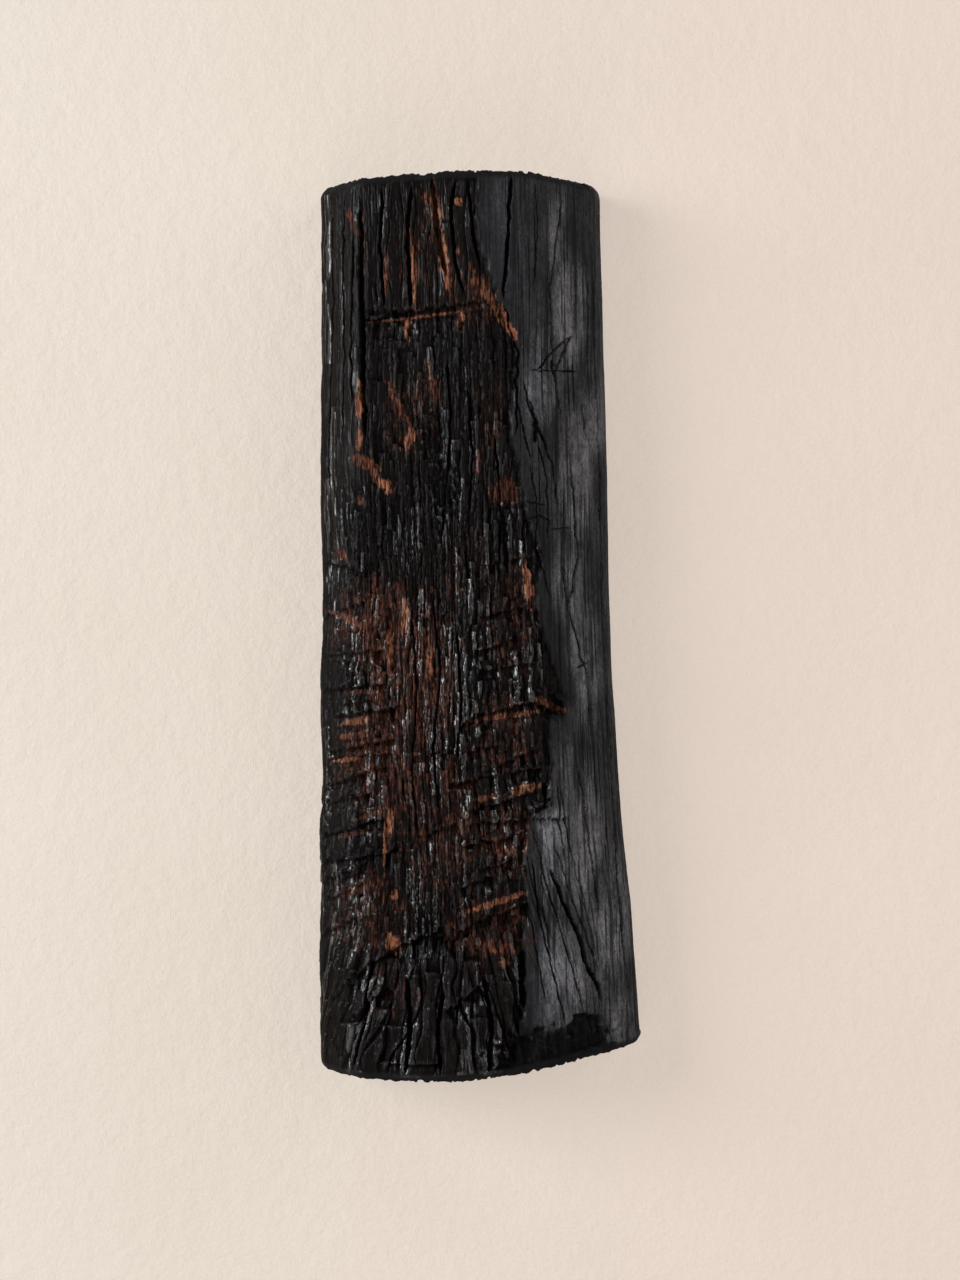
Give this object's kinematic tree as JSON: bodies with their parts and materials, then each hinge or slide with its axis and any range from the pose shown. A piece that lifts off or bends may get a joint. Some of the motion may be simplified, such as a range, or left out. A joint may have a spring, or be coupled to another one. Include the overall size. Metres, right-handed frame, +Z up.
{
  "type": "charred timber wall piece",
  "caption": "Upright length of hand-hewn timber burnt black, with keyhole plates screwed to its flat back so that it hangs almost flush on a wall.",
  "frame": {"origin": "on the wall plane, halfway between the two places where the wall screws carry the hanger plates", "axes": "+Z up as it hangs, +Y into the wall and -Y to the room, +X to the right as seen from the room"},
  "size_m": [0.2163, 0.0898, 0.5993],
  "materials": {
    "bare_wood": "old red-brown heartwood, bare where the char is cut through and on the sawn back",
    "char": "charcoal, matte on the smooth side and glossy on the hewn ridges",
    "plate_steel": "zinc plated",
    "screw_steel": "yellow passivated zinc",
    "felt": "dark grey pressed felt"
  },
  "bodies": {
    "root": {"timber_core": "bare_wood", "char_crust": "char", "keyhole_plate_left": "plate_steel", "keyhole_plate_right": "plate_steel", "plate_screw_left_upper": "screw_steel", "plate_screw_left_lower": "screw_steel", "plate_screw_right_upper": "screw_steel", "plate_screw_right_lower": "screw_steel", "felt_pad_top_left": "felt", "felt_pad_top_right": "felt", "felt_pad_bottom_left": "felt", "felt_pad_bottom_right": "felt"}
  },
  "joints": []
}
